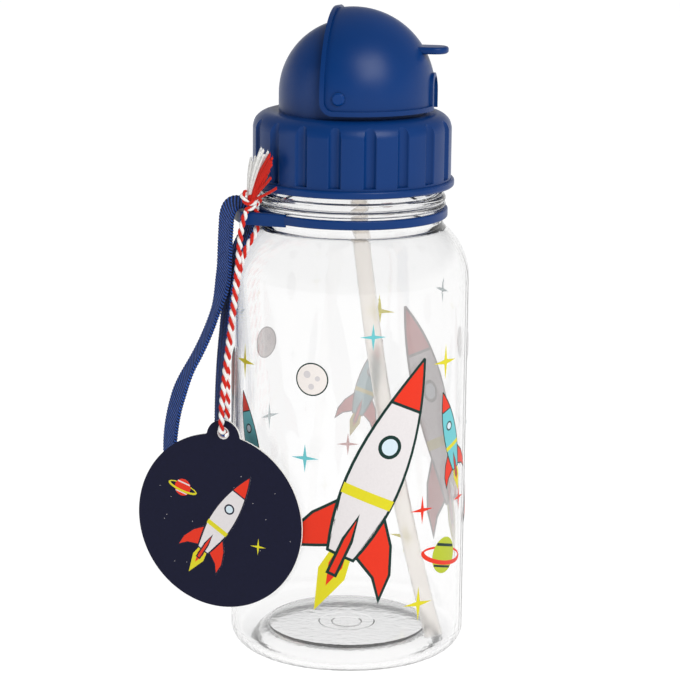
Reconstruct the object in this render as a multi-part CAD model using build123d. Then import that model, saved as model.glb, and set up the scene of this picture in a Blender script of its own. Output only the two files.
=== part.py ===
"""Kids' drinking bottle: clear screw-neck bottle, blue screw cap with a swinging cover over a
folding spout, straw, loose neck ring with a strap lug, webbing carry strap and a hanging card tag.

Millimetres. The origin is the centre of the ring that the bottle stands on, +Z is up and +X is
the drinking side. The cover swings about a line along Y.
"""
from build123d import *
from math import acos, cos, pi, radians, sin, tan
import os

os.makedirs("parts", exist_ok=True)

# --- bottle ---------------------------------------------------------------------------------
BODY_R = 36.0            # clear barrel, outside
BODY_WALL = 1.7
FOOT_OUT_R = 29.5        # flat ring the bottle stands on
FOOT_IN_R = 27.6
FOOT_ARC = (26.4, 3.2)   # middle of the arc from the foot up to the floor
HEEL_R = 6.5             # rounding between the foot and the barrel
PUSH_UP_Z = 4.6          # underside of the floor, inside the foot
PUSH_UP_R = 23.8
FLOOR_T = 1.8
FLOOR_SPREAD = 0.6       # the floor's inside is this much wider than its underside
FLOOR_ARC = (27.6, 4.2)  # middle of the arc inside, from the floor down to the heel
GATE_R = (4.4, 8.4)      # moulding mark under the floor: two shallow round steps
GATE_DROP = (0.8, 0.2)
GATE_SLOPE = 0.4
BARREL_TOP_Z = 115.0
SHOULDER_ARC_R = 21.0
SHOULDER_MEET = 1.1      # the shoulder's arc ends this far out from the neck
SHOULDER_BLEND = (0.28, 1.2)  # middle of the blend into the neck: out from it, and up
NECK_R = 27.5            # neck under the cap, where the loose ring turns
NECK_WALL = 1.8
NECK_FOOT_Z = 133.6
BEAD_SMALL = (138.1, 0.5)    # height, bead radius
BEAD_LARGE = (139.9, 1.2)
BEAD_PROUD = 0.9
BEAD_LEVEL = 0.8         # level stretch over the large bead
FINISH_R = 25.2          # threaded mouth, outside
FINISH_BOTTOM_Z = 143.4
MOUTH_Z = 160.0
MOUTH_R = 23.3           # inside of the mouth
LIP_CHAMFER = 0.5

# --- thread ---------------------------------------------------------------------------------
THREAD_PITCH = 5.0
THREAD_TURNS = 1.25
THREAD_HEIGHT = 1.3      # of the bottle's ridge
CAP_THREAD_HEIGHT = 1.1
THREAD_Z = 149.0         # where the bottle's ridge starts
THREAD_ROOT = 2.3        # ridge width at its root and crest
THREAD_CREST = 1.2
THREAD_SINK = 0.35       # how far a ridge is buried in its wall

# --- screw cap with its dome ------------------------------------------------------------------
CAP_R = 29.8
CAP_IN_R = 27.0
FLANGE_R = 30.8
FLANGE_Z = (143.6, 145.9)
FLANGE_ROUND = 0.7       # upper and lower outer edges of the flange
ROOF_Z = 165.6
ROOF_T = 2.2
CAP_SHOULDER = 5.0
CAP_IN_SHOULDER = 2.8
FLUTES = 18
FLUTE_R = 1.85           # grip grooves: radius, and how far out their centres lie
FLUTE_CENTRE_R = 30.2
FLUTE_EDGE = 0.55        # rounding of a groove's two long edges
SKIRT_SPARE = 0.03       # the shoulder starts this far outside the skirt, so that they cut cleanly
FLUTE_BOTTOM_Z = 146.5
DOME_R = 22.1
DOME_WALL = 1.8
DOME_CENTRE_Z = 171.0
SLOT_HALF = 5.4          # the slot that the spout folds into
SLOT_WALL = 1.5
SLOT_REAR_X = -7.5
SLOT_FLOOR = (165.6, 167.1)
TROUGH_INSET = 0.4       # the slot's own walls stop this far inside the dome's outside
PIVOT_Z = 172.0
BOSS_R = 3.7             # round boss in the dome behind each pin
BOSS_Y = (17.4, 21.5)
PIN_POCKET_Y = 18.2      # where a pin's hole ends inside its boss

# --- cover ------------------------------------------------------------------------------------
COVER_IN_R = 23.0
COVER_OUT_R = 24.6
RIB_R = 25.4
COVER_REAR_X = -5.6
COVER_BOTTOM_Z = 167.0
COVER_CORNER = 4.0
COVER_EDGE = 1.0         # smallest rounding of the cover's outline
RIB_W = 1.4
NOTCH_HALF = 3.9         # arched opening at the front, for the spout's tip
NOTCH_TOP_Z = 176.6
NOTCH_RIM = 1.2
TAB_Z = (183.5, 185.6)
TAB_TIP_X = 28.6
TAB_HALF = 4.4
TAB_ROUND = 0.85
TAB_CORNER = 4.0         # rounding of its tip, seen from above
TAB_ROOT_X = 14.0
TAB_CLEAR = 0.6          # the tab's root stops this far outside the cover's inside
PIN_R = 1.95
PIN_GAP = 0.05
PIN_Y = (18.6, 25.5)
PIN_CHAMFER = 0.5

# --- spout, straw, seal and valve -------------------------------------------------------------
SPOUT_PIVOT = (1.0, 180.0)   # x and z of the line where the silicone folds
SPOUT_CLOSED_DEG = -27.0     # direction of the tip above the horizontal
SPOUT_TIP_L = 20.3
SPOUT_TIP_R = 3.4
SPOUT_KNUCKLE_R = 4.4
SPOUT_BORE_R = 1.7
SPOUT_STEM_R = 4.5
SPOUT_STEM_Z = (158.5, 174.0)
SPOUT_STEM_BORE_R = 2.35
SPOUT_FLANGE_R = (5.2, 6.2)  # over and under the slot's floor
SPOUT_FLANGE_T = (1.15, 1.75)
PLUG_GAP = 0.05          # between a soft piece and the floor that it is plugged into
HOLE_DEPTH = 4.0
STRAW_R = 2.6
STRAW_BORE_R = 2.3
CONNECTOR_R = 2.25
CONNECTOR_BORE_R = 1.7
STRAW_SIDE_DEG = 74.0        # side the straw leans to, from -Y towards +X
CONNECTOR_TOP_Z = 162.0
CONNECTOR_BEND_Z = 154.5     # the connector leans over here
CONNECTOR_BEND_R = 25.0
CONNECTOR_COLLAR_R = 3.6
CONNECTOR_COLLAR_Z = (156.6, 158.2)
CONNECTOR_BOTTOM_Z = 127.0
STRAW_TOP_Z = 134.5
STRAW_TILT_DEG = 7.2
STRAW_END = (29.3, 5.9)      # distance from the axis, height
SEAL_R = (22.2, 24.8)
SEAL_Z = (160.3, 163.1)
VALVE_X = 14.0
VALVE_STEM_R = 1.2
VALVE_STEM_END = 0.6     # the stem reaches this far past the floor, below
VALVE_DISC = (3.4, 0.9)  # radius and thickness
VALVE_BARB = (1.7, 1.0, 1.0)  # radii and height
VALVE_STEM_L = 2.5

# --- neck ring and its strap lug --------------------------------------------------------------
RING_IN_R = 27.8
RING_R = 29.0
RING_Z = (134.3, 137.0)
LUG_Z = (133.6, 137.4)
LUG_SIDE_DEG = -64.0         # side the lug points to, from -Y towards +X
LUG_R = 36.0
LUG_HALF = 7.5
LUG_CORNER = 2.4
LUG_SIDE_BAR = 1.6
LUG_OUTER_BAR = 2.8
LUG_INSET = 0.4          # the lug's plate starts this far outside the ring's inside
LUG_SLOT_ROUND = 1.0
LUG_FOOT_DEG = 31.0      # where each side of the lug meets the ring, from the lug's middle
LUG_EDGE = 0.4           # rounding of the lug's and the ring's outer edges

# --- strap ------------------------------------------------------------------------------------
STRAP_W = 9.6
STRAP_T = 1.2
STRAP_LEAN_DEG = 6.0         # the loop leans back from the tag
STRAP_WRAP_R = 3.85          # centre line of the fold over the lug's bar
STRAP_WRAP_CUT = 0.02        # keeps the fold's two arcs from meeting at a point
RUN_SHARE = 0.45             # of the shorter run beside a corner, taken up by its arc

# --- string and tag ---------------------------------------------------------------------------
STRING_R = 0.9
KNOT_R = 2.3
KNOT_AT = (-26.2, -23.3, 141.4)
TASSEL_SIDE_DEG = -40.0
TASSEL_R = 33.4              # middle of the fan, from the axis
TASSEL_T = 2.4
TAG_SIDE_DEG = -12.0         # side the tag faces, from -Y towards +X
TAG_T = 0.8
TAG_R = 26.8
TAG_CLEAR = 0.6              # gap between the tag and the barrel
TAG_HANG = (-25.25, 72.2)    # its hole: along its own plane from the barrel's nearest line, height
TAG_LEAN_DEG = 2.6           # it hangs turned this much, with its foot away from the drinking side
TAG_HOLE_UP = 27.3           # from the tag's centre
TAG_HOLE_R = 1.45
TAG_EAR_R = 5.4
TAG_EAR_DOWN = 1.4           # the ear's centre is this far under the hole's
TAG_EAR_FOOT = 0.8           # rounding between the ear and the tag
STRING_LIFT = 0.15           # the string hangs this far under the top of the tag's hole
OVER = 10.0                  # how far a cutting shape runs past what it cuts


ON_FOOT = (Align.CENTER, Align.CENTER, Align.MIN)


def radial(side_deg):
    """Unit vector away from the axis, on a side given from -Y towards +X."""
    return Vector(sin(radians(side_deg)), -cos(radians(side_deg)), 0)


def sideways(side_deg):
    """Unit vector at right angles to radial(), towards larger side angles."""
    return Vector(cos(radians(side_deg)), sin(radians(side_deg)), 0)


def degrees_of(angle):
    return angle * 180 / pi


def on_side(side_deg):
    """Plane whose x runs away from the axis on that side, and whose y runs up."""
    return Plane(origin=(0, 0, 0), x_dir=radial(side_deg), z_dir=-sideways(side_deg))


def turned(*edges):
    """Solid of revolution about Z of an outline drawn in the XZ plane."""
    return revolve(make_face(Wire(list(edges))), Axis.Z, 360)


def xz(r, z):
    return (r, 0, z)


def ring_tube(out_r, in_r, z0, z1):
    height = z1 - z0
    outside = Cylinder(out_r, height, align=ON_FOOT)
    inside = Cylinder(in_r, height + 2 * OVER, align=ON_FOOT)
    return Pos(0, 0, z0) * outside - Pos(0, 0, z0 - OVER) * inside


def thread_ridge(wall_r, height, z_start, outward):
    """A right-hand ridge of trapezoid section, buried a little in its wall."""
    helix = Helix(THREAD_PITCH, THREAD_PITCH * THREAD_TURNS, wall_r, center=(0, 0, z_start))
    way = 1 if outward else -1
    section = Polyline(
        (-way * THREAD_SINK, -THREAD_ROOT / 2),
        (way * height, -THREAD_CREST / 2),
        (way * height, THREAD_CREST / 2),
        (-way * THREAD_SINK, THREAD_ROOT / 2),
        close=True,
    )
    start = Plane(origin=helix @ 0, x_dir=(1, 0, 0), z_dir=helix % 0)
    return sweep(start * make_face(section), path=helix, is_frenet=True)


def corner_arc(centre, radius, start_deg, end_deg):
    """Arc in the XZ plane about (distance from the axis, height)."""
    def at(deg):
        angle = radians(deg)
        return xz(centre[0] + radius * cos(angle), centre[1] + radius * sin(angle))

    return ThreePointArc(at(start_deg), at((start_deg + end_deg) / 2), at(end_deg))


def path_through(*points):
    """Straight edges through points given as (distance from the axis, height)."""
    return [Line(xz(*a), xz(*b)) for a, b in zip(points, points[1:])]


def bottle_outside():
    """Outline from the middle of the floor's underside, round the foot, up to the mouth."""
    shoulder = (BODY_R - SHOULDER_ARC_R, BARREL_TOP_Z)
    meet_r = NECK_R + SHOULDER_MEET
    meet = acos((meet_r - shoulder[0]) / SHOULDER_ARC_R)
    meet_z = shoulder[1] + SHOULDER_ARC_R * sin(meet)
    blend = xz(NECK_R + SHOULDER_BLEND[0], meet_z + SHOULDER_BLEND[1])
    first, second = (PUSH_UP_Z - drop for drop in GATE_DROP)
    edges = path_through(
        (0, first),
        (GATE_R[0], first),
        (GATE_R[0] + GATE_SLOPE, second),
        (GATE_R[1], second),
        (GATE_R[1] + GATE_SLOPE, PUSH_UP_Z),
        (PUSH_UP_R, PUSH_UP_Z),
    )
    edges += [
        ThreePointArc(xz(PUSH_UP_R, PUSH_UP_Z), xz(*FOOT_ARC), xz(FOOT_IN_R, 0)),
        Line(xz(FOOT_IN_R, 0), xz(FOOT_OUT_R, 0)),
        corner_arc((FOOT_OUT_R, HEEL_R), HEEL_R, -90, 0),
        Line(xz(BODY_R, HEEL_R), xz(BODY_R, BARREL_TOP_Z)),
        corner_arc(shoulder, SHOULDER_ARC_R, 0, degrees_of(meet)),
        ThreePointArc(xz(meet_r, meet_z), blend, xz(NECK_R, NECK_FOOT_Z)),
    ]
    z = NECK_FOOT_Z
    for bead_z, bead_r in (BEAD_SMALL, BEAD_LARGE):
        low, high = xz(NECK_R, bead_z - bead_r), xz(NECK_R, bead_z + bead_r)
        edges.append(Line(xz(NECK_R, z), low))
        edges.append(ThreePointArc(low, xz(NECK_R + BEAD_PROUD, bead_z), high))
        z = bead_z + bead_r
    return edges + path_through(
        (NECK_R, z),
        (NECK_R, z + BEAD_LEVEL),
        (FINISH_R, FINISH_BOTTOM_Z),
        (FINISH_R, MOUTH_Z - LIP_CHAMFER),
        (FINISH_R - LIP_CHAMFER, MOUTH_Z),
        (MOUTH_R + LIP_CHAMFER, MOUTH_Z),
        (MOUTH_R, MOUTH_Z - LIP_CHAMFER),
    )


def bottle_inside():
    """Outline from the mouth down to the middle of the floor, and back to the start."""
    shoulder = (BODY_R - SHOULDER_ARC_R, BARREL_TOP_Z)
    arc_r = SHOULDER_ARC_R - BODY_WALL
    neck_r = NECK_R - NECK_WALL
    turn = acos((neck_r - shoulder[0]) / arc_r)
    neck_foot = shoulder[1] + arc_r * sin(turn)
    neck_top = BEAD_LARGE[0] + BEAD_LARGE[1]
    barrel_r = BODY_R - BODY_WALL
    heel_r = HEEL_R - BODY_WALL
    heel = (barrel_r - heel_r, HEEL_R)
    floor_z = PUSH_UP_Z + FLOOR_T
    floor_r = PUSH_UP_R + FLOOR_SPREAD
    edges = path_through(
        (MOUTH_R, MOUTH_Z - LIP_CHAMFER),
        (MOUTH_R, FINISH_BOTTOM_Z),
        (neck_r, neck_top),
        (neck_r, neck_foot),
    )
    edges += [
        corner_arc(shoulder, arc_r, degrees_of(turn), 0),
        Line(xz(barrel_r, BARREL_TOP_Z), xz(barrel_r, HEEL_R)),
        corner_arc(heel, heel_r, 0, -90),
        ThreePointArc(xz(heel[0], BODY_WALL), xz(*FLOOR_ARC), xz(floor_r, floor_z)),
    ]
    return edges + path_through((floor_r, floor_z), (0, floor_z), (0, PUSH_UP_Z - GATE_DROP[0]))


def make_bottle():
    ridge = thread_ridge(FINISH_R, THREAD_HEIGHT, THREAD_Z, True)
    return turned(*bottle_outside(), *bottle_inside()) + ridge


def slot_solid(half, floor_z, grow):
    """Block that fills the spout's slot, out through the front of the dome."""
    front = DOME_R + OVER
    rear = SLOT_REAR_X - grow
    size = (front - rear, 2 * half, DOME_R + 2 * OVER)
    return Pos(rear, 0, floor_z) * Box(*size, align=(Align.MIN, Align.CENTER, Align.MIN))


def dome_solid(r, z0):
    wall = Cylinder(r, DOME_CENTRE_Z - z0, align=ON_FOOT)
    half_ball = Sphere(r, arc_size1=0, align=ON_FOOT)
    return Pos(0, 0, z0) * wall + Pos(0, 0, DOME_CENTRE_Z) * half_ball


def cap_shell():
    """Skirt, flange and roof, as one outline turned about the axis."""
    skirt_r = CAP_R + SKIRT_SPARE
    rim_r = FLANGE_R - FLANGE_ROUND
    centre = (skirt_r - CAP_SHOULDER, ROOF_Z - CAP_SHOULDER)
    under_z = ROOF_Z - ROOF_T
    in_centre = (CAP_IN_R - CAP_IN_SHOULDER, under_z - CAP_IN_SHOULDER)
    hole_r = DOME_R - DOME_WALL
    return turned(
        *path_through(
            (CAP_IN_R, FLANGE_Z[0]),
            (FLANGE_R - FLANGE_ROUND, FLANGE_Z[0]),
        ),
        corner_arc((rim_r, FLANGE_Z[0] + FLANGE_ROUND), FLANGE_ROUND, -90, 0),
        *path_through(
            (FLANGE_R, FLANGE_Z[0] + FLANGE_ROUND), (FLANGE_R, FLANGE_Z[1] - FLANGE_ROUND)
        ),
        corner_arc((rim_r, FLANGE_Z[1] - FLANGE_ROUND), FLANGE_ROUND, 0, 90),
        *path_through((rim_r, FLANGE_Z[1]), (skirt_r, FLANGE_Z[1]), (skirt_r, centre[1])),
        corner_arc(centre, CAP_SHOULDER, 0, 90),
        *path_through(
            (centre[0], ROOF_Z), (hole_r, ROOF_Z), (hole_r, under_z), (in_centre[0], under_z)
        ),
        corner_arc(in_centre, CAP_IN_SHOULDER, 90, 0),
        *path_through((CAP_IN_R, in_centre[1]), (CAP_IN_R, FLANGE_Z[0])),
    )


def grip_limit():
    """What the skirt may fill: a fluted prism with rounded edges, over a plain flange."""
    shape = Circle(CAP_R)
    for i in range(FLUTES):
        spot = radial(i * 360 / FLUTES) * FLUTE_CENTRE_R
        shape -= Pos(spot.X, spot.Y) * Circle(FLUTE_R)
    shape = fillet(shape.vertices(), FLUTE_EDGE)
    prism = extrude(shape, amount=ROOF_Z - FLUTE_BOTTOM_Z + OVER)
    plain = Cylinder(FLANGE_R + OVER, OVER, align=(Align.CENTER, Align.CENTER, Align.MAX))
    return Pos(0, 0, FLUTE_BOTTOM_Z) * (prism + plain)


def make_cap():
    shell = cap_shell() & grip_limit()
    under_z = ROOF_Z - ROOF_T
    skin = dome_solid(DOME_R, under_z) - dome_solid(DOME_R - DOME_WALL, under_z - OVER)
    skin -= slot_solid(SLOT_HALF, SLOT_FLOOR[1], 0)
    trough = slot_solid(SLOT_HALF + SLOT_WALL, SLOT_FLOOR[0], SLOT_WALL)
    trough -= slot_solid(SLOT_HALF, SLOT_FLOOR[1], 0)
    trough = trough & dome_solid(DOME_R - TROUGH_INSET, SLOT_FLOOR[0])
    cap = shell + skin + trough
    across = Pos(0, 0, PIVOT_Z) * Rot(90, 0, 0)
    for way in (-1, 1):
        boss = Cylinder(BOSS_R, BOSS_Y[1] - BOSS_Y[0])
        cap += across * Pos(0, 0, way * (BOSS_Y[0] + BOSS_Y[1]) / 2) * boss
    hole = across * Cylinder(PIN_R + PIN_GAP, 2 * DOME_R + OVER)
    cap -= hole - across * Cylinder(2 * PIN_R, 2 * PIN_POCKET_Y)
    floor_z = (SLOT_FLOOR[0] + SLOT_FLOOR[1]) / 2
    cap -= Pos(0, 0, floor_z) * Cylinder(SPOUT_STEM_R + PLUG_GAP, HOLE_DEPTH)
    cap -= Pos(VALVE_X, 0, floor_z) * Cylinder(VALVE_STEM_R + PLUG_GAP, HOLE_DEPTH)
    ridge = thread_ridge(CAP_IN_R, CAP_THREAD_HEIGHT, THREAD_Z - THREAD_PITCH / 2, False)
    return cap + ridge


def cover_body(r):
    """Ball about the pivot's height, carried on down as a cylinder."""
    low = COVER_BOTTOM_Z - OVER
    wall = Cylinder(r, PIVOT_Z - low, align=ON_FOOT)
    return Pos(0, 0, low) * wall + Pos(0, 0, PIVOT_Z) * Sphere(r)


def cover_side(inset):
    """The cover's outline seen from the side, cut through in Y."""
    rear = COVER_REAR_X + inset
    low = COVER_BOTTOM_Z + inset
    front, top = rear + 2 * RIB_R + OVER, low + 2 * RIB_R + OVER
    corner = max(COVER_CORNER - inset, COVER_EDGE)
    line = FilletPolyline(
        (rear, top), (rear, low), (front, low), (front, top),
        radius=[COVER_EDGE, corner, COVER_EDGE, COVER_EDGE], close=True,
    )
    return extrude(Plane.XZ * make_face(line), amount=RIB_R + OVER, both=True)


def cover_notch(grow):
    """The arched front opening, seen from the front, cut through in X."""
    half = NOTCH_HALF + grow
    arch_z = NOTCH_TOP_Z - NOTCH_HALF
    low = COVER_BOTTOM_Z - OVER
    reach = RIB_R + OVER
    tall = Box(reach, 2 * half, arch_z - low, align=(Align.MIN, Align.CENTER, Align.MIN))
    arch = Rot(0, 90, 0) * Cylinder(half, reach, align=ON_FOOT)
    return Pos(0, 0, low) * tall + Pos(0, 0, arch_z) * arch


def cover_tab():
    length = TAB_TIP_X - TAB_ROOT_X
    height = TAB_Z[1] - TAB_Z[0]
    tab = Box(length, 2 * TAB_HALF, height, align=(Align.MAX, Align.CENTER, Align.MIN))
    tab = fillet(tab.faces().sort_by(Axis.X)[-1].edges().filter_by(Axis.Z), TAB_CORNER)
    for face in (-1, 0):
        rim = tab.faces().sort_by(Axis.Z)[face].edges().sort_by(Axis.X)[1:]
        tab = fillet(rim, TAB_ROUND)
    return Pos(TAB_TIP_X, 0, TAB_Z[0]) * tab - cover_body(COVER_IN_R + TAB_CLEAR)


def make_cover():
    outline = cover_side(0)
    hollow = cover_body(COVER_IN_R)
    thin = (cover_body(COVER_OUT_R) - hollow) & outline
    thick = (cover_body(RIB_R) - hollow) & outline
    ribs = thick - cover_side(RIB_W)
    rim = thick & cover_notch(NOTCH_RIM)
    cover = thin + ribs + rim - cover_notch(0) + cover_tab()
    holes = Pos(0, 0, PIVOT_Z) * Rot(90, 0, 0) * Cylinder(PIN_R + PIN_GAP, 2 * RIB_R + OVER)
    return cover - holes


def make_pin(way):
    length = PIN_Y[1] - PIN_Y[0]
    pin = Cylinder(PIN_R, length)
    pin = chamfer(pin.edges().filter_by(GeomType.CIRCLE), PIN_CHAMFER)
    return Pos(0, way * (PIN_Y[0] + length / 2), PIVOT_Z) * Rot(90, 0, 0) * pin


def make_spout_base():
    """Silicone stem that plugs into the slot's floor, with a flange each side of it."""
    stem = ring_tube(SPOUT_STEM_R, SPOUT_STEM_BORE_R, *SPOUT_STEM_Z)
    over_z = SLOT_FLOOR[1] + PLUG_GAP
    under_z = SLOT_FLOOR[0] - PLUG_GAP
    inner = SPOUT_STEM_R - THREAD_SINK
    over = ring_tube(SPOUT_FLANGE_R[0], inner, over_z, over_z + SPOUT_FLANGE_T[0])
    under = ring_tube(SPOUT_FLANGE_R[1], inner, under_z - SPOUT_FLANGE_T[1], under_z)
    return stem + over + under


def make_spout_tip():
    """The part that folds: a knuckle on the fold line and a tube with a rounded lip."""
    closed = radians(SPOUT_CLOSED_DEG)
    pivot = Pos(SPOUT_PIVOT[0], 0, SPOUT_PIVOT[1])
    along = Plane(
        origin=(SPOUT_PIVOT[0], 0, SPOUT_PIVOT[1]),
        x_dir=(0, 1, 0),
        z_dir=(cos(closed), 0, sin(closed)),
    )
    tube = Cylinder(SPOUT_TIP_R, SPOUT_TIP_L, align=ON_FOOT)
    tube += Pos(0, 0, SPOUT_TIP_L) * Sphere(SPOUT_TIP_R)
    bore = Cylinder(SPOUT_BORE_R, SPOUT_TIP_L + OVER, align=ON_FOOT)
    down = Cylinder(SPOUT_BORE_R, OVER, align=(Align.CENTER, Align.CENTER, Align.MAX))
    return along * tube + pivot * Sphere(SPOUT_KNUCKLE_R) - along * bore - pivot * down


def straw_line(z):
    """Point on the leaning line that connector and straw share: distance from axis, height."""
    return ((CONNECTOR_BEND_Z - z) * tan(radians(STRAW_TILT_DEG)), z)


def make_straw():
    """A push-on tube: straight where it holds the connector, then one long gentle arc."""
    bend = straw_line(CONNECTOR_BOTTOM_Z)
    straight = Line(straw_line(STRAW_TOP_Z), bend)
    arc = TangentArc(bend, STRAW_END, tangent=straight % 1)
    path = on_side(STRAW_SIDE_DEG) * Wire([straight, arc])
    start = Plane(origin=path @ 0, z_dir=path % 0)
    outside = sweep(start * Circle(STRAW_R), path=path)
    inside = sweep(start * Circle(STRAW_BORE_R), path=path)
    return outside - inside


def make_connector():
    """Stiff tube between the spout's stem and the straw, with a collar under the stem."""
    path = on_side(STRAW_SIDE_DEG) * FilletPolyline(
        (0, CONNECTOR_TOP_Z),
        (0, CONNECTOR_BEND_Z),
        straw_line(CONNECTOR_BOTTOM_Z),
        radius=CONNECTOR_BEND_R,
    )
    start = Plane(origin=path @ 0, z_dir=path % 0)
    collar = ring_tube(CONNECTOR_COLLAR_R, CONNECTOR_BORE_R, *CONNECTOR_COLLAR_Z)
    outside = sweep(start * Circle(CONNECTOR_R), path=path) + collar
    return outside - sweep(start * Circle(CONNECTOR_BORE_R), path=path)


def make_seal():
    return ring_tube(SEAL_R[1], SEAL_R[0], *SEAL_Z)


def make_valve():
    """Umbrella valve: a stem through the slot's floor, a disc under it and a barb over it."""
    under_z = SLOT_FLOOR[0] - PLUG_GAP
    stem = Cylinder(VALVE_STEM_R, VALVE_STEM_L, align=ON_FOOT)
    disc = Cylinder(*VALVE_DISC, align=ON_FOOT)
    barb = Cone(*VALVE_BARB, align=ON_FOOT)
    valve = Pos(0, 0, under_z - VALVE_STEM_END) * stem
    valve += Pos(0, 0, under_z - VALVE_DISC[1]) * disc
    valve += Pos(0, 0, SLOT_FLOOR[1] + PLUG_GAP) * barb
    return Pos(VALVE_X, 0, 0) * valve


def make_ring():
    ring = ring_tube(RING_R, RING_IN_R, *RING_Z)
    circles = ring.edges().filter_by(GeomType.CIRCLE)
    ring = fillet(circles.group_by(SortBy.RADIUS)[-1], LUG_EDGE)
    foot = radians(LUG_FOOT_DEG)
    tx, ty = RING_R * cos(foot), RING_R * sin(foot)
    plate = make_face(
        Polyline((0, 0), (tx, ty), (LUG_R, LUG_HALF), (LUG_R, -LUG_HALF), (tx, -ty), close=True)
    )
    plate = fillet(plate.vertices().group_by(Axis.X)[-1], LUG_CORNER)
    slot = offset(plate, amount=-LUG_SIDE_BAR, kind=Kind.INTERSECTION)
    limit = Rectangle(2 * LUG_R, 2 * LUG_R, align=(Align.MAX, Align.CENTER))
    slot = (slot & Pos(LUG_R - LUG_OUTER_BAR, 0) * limit) - Circle(RING_R)
    slot = fillet(slot.vertices().sort_by(Axis.X)[-2:], LUG_SLOT_ROUND)
    height = LUG_Z[1] - LUG_Z[0]
    lug = extrude(plate, amount=height)
    rim = lug.faces().filter_by(Axis.Z).edges().filter_by(lambda edge: edge.center().X > tx)
    lug = fillet(rim, LUG_EDGE)
    lug -= extrude(slot + Circle(RING_IN_R + LUG_INSET), amount=height)
    way = radial(LUG_SIDE_DEG)
    plane = Plane(origin=(0, 0, LUG_Z[0]), x_dir=way, z_dir=(0, 0, 1))
    return ring + plane * lug


def strap_points():
    """Route of the strap in its own plane: distance from the axis, height. It starts at the
    sewn end behind the tag, goes up the inner leg, over the bar and down the outer leg."""
    bar = (LUG_R - LUG_OUTER_BAR / 2, (LUG_Z[0] + LUG_Z[1]) / 2)
    wrap = STRAP_WRAP_R
    return [
        (38.7, 57.0),
        (39.6, 78.0),
        (37.7, 108.0),
        (36.2, 123.0),
        (bar[0] - wrap, bar[1] - 3.0),
        (bar[0] - wrap, bar[1] + wrap),
        (bar[0] + wrap, bar[1] + wrap),
        (38.9, 128.0),
        (38.9, 114.0),
        (43.4, 98.0),
        (51.9, 82.0),
        (54.8, 66.0),
        (54.0, 50.6),
        (49.8, 45.8),
        (44.2, 45.3),
        (40.5, 49.0),
        (40.05, 57.0),
        (40.3, 63.5),
    ]


def arc_radii(points):
    """One radius for each corner: RUN_SHARE of the shorter run over the tangent of half the
    turn, so that each arc is as large as its two runs allow."""
    radii = []
    for before, here, after in zip(points, points[1:], points[2:]):
        a, b = here - before, after - here
        turn = radians(a.get_angle(b))
        radii.append(RUN_SHARE * min(a.length, b.length) / tan(turn / 2))
    return radii


def strap_plane():
    bar_z = (LUG_Z[0] + LUG_Z[1]) / 2
    out = radial(LUG_SIDE_DEG)
    side = sideways(LUG_SIDE_DEG)
    lean = radians(STRAP_LEAN_DEG)
    up = Vector(0, 0, 1) * cos(lean) + side * sin(lean)
    foot = Vector(0, 0, bar_z) - up * bar_z
    return Plane(origin=foot, x_dir=out, z_dir=out.cross(up))


def make_strap():
    points = strap_points()
    radii = arc_radii([Vector(*point) for point in points])
    fold = next(i for i, point in enumerate(points) if point[1] > LUG_Z[1])
    radii[fold - 1] = radii[fold] = STRAP_WRAP_R - STRAP_WRAP_CUT
    plane = strap_plane()
    path = plane * FilletPolyline(*points, radius=radii)
    print("strap: length", round(path.length, 1), "radii", [round(r, 1) for r in radii])
    start = Plane(origin=path @ 0, x_dir=plane.z_dir, z_dir=path % 0)
    return sweep(start * Rectangle(STRAP_W, STRAP_T), path=path)


def hang_plane():
    """Level plane at the middle of the tag's hole: x across the tag, y up, z off the axis."""
    face = radial(TAG_SIDE_DEG)
    across = sideways(TAG_SIDE_DEG)
    hole = face * (BODY_R + TAG_CLEAR + TAG_T / 2) + across * TAG_HANG[0]
    hole += Vector(0, 0, TAG_HANG[1])
    return Plane(origin=hole, x_dir=across, z_dir=face)


def make_tag():
    ear = Pos(0, TAG_HOLE_UP - TAG_EAR_DOWN) * Circle(TAG_EAR_R)
    shape = Circle(TAG_R) + ear
    card = extrude(shape, amount=TAG_T / 2, both=True)
    feet = card.edges().filter_by(Axis.Z).sort_by(Axis.Y)[-2:]
    card = fillet(feet, TAG_EAR_FOOT) - Pos(0, TAG_HOLE_UP) * Cylinder(TAG_HOLE_R, OVER)
    return hang_plane() * Rot(0, 0, -TAG_LEAN_DEG) * Pos(0, -TAG_HOLE_UP) * card


def string_points():
    """The string from under the knot, down in front of the lug, through the tag's hole, and up
    behind the lug's side bar to the knot again."""
    tag = hang_plane()
    rest_up = TAG_HOLE_R - STRING_R - STRING_LIFT

    def by_tag(across, up, out):
        return tag.from_local_coords(Vector(across, rest_up + up, out))

    front = [
        Vector(-26.95, -24.8, 138.4),
        Vector(-28.2, -25.5, 135.0),
        Vector(-28.9, -25.4, 128.5),
        Vector(-29.6, -25.6, 119.0),
        Vector(-30.9, -26.8, 106.0),
        Vector(-32.2, -28.0, 94.0),
        by_tag(0.4, 9.5, 2.2),
        by_tag(0.2, 3.4, 2.1),
        by_tag(0.0, -0.1, 1.9),
    ]
    back = [
        by_tag(0.0, -0.1, -1.9),
        by_tag(0.2, 3.6, -2.0),
        by_tag(0.4, 9.5, -1.7),
        Vector(-32.5, -25.7, 94.0),
        Vector(-31.1, -24.4, 106.0),
        Vector(-30.0, -23.5, 117.0),
        Vector(-28.1, -22.9, 126.0),
        Vector(-24.7, -20.5, 131.5),
        Vector(-24.3, -20.2, 136.4),
        Vector(-25.1, -21.6, 139.4),
    ]
    return front + back


def make_string():
    points = string_points()
    radii = arc_radii(points)
    path = FilletPolyline(*points, radius=radii)
    print("string: length", round(path.length, 1), "radii", [round(r, 1) for r in radii])
    start = Plane(origin=path @ 0, z_dir=path % 0)
    tube = sweep(start * Circle(STRING_R), path=path)
    expected = pi * STRING_R**2 * path.length
    print("string: volume", round(tube.volume, 1), "section times length", round(expected, 1))
    return tube


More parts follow.
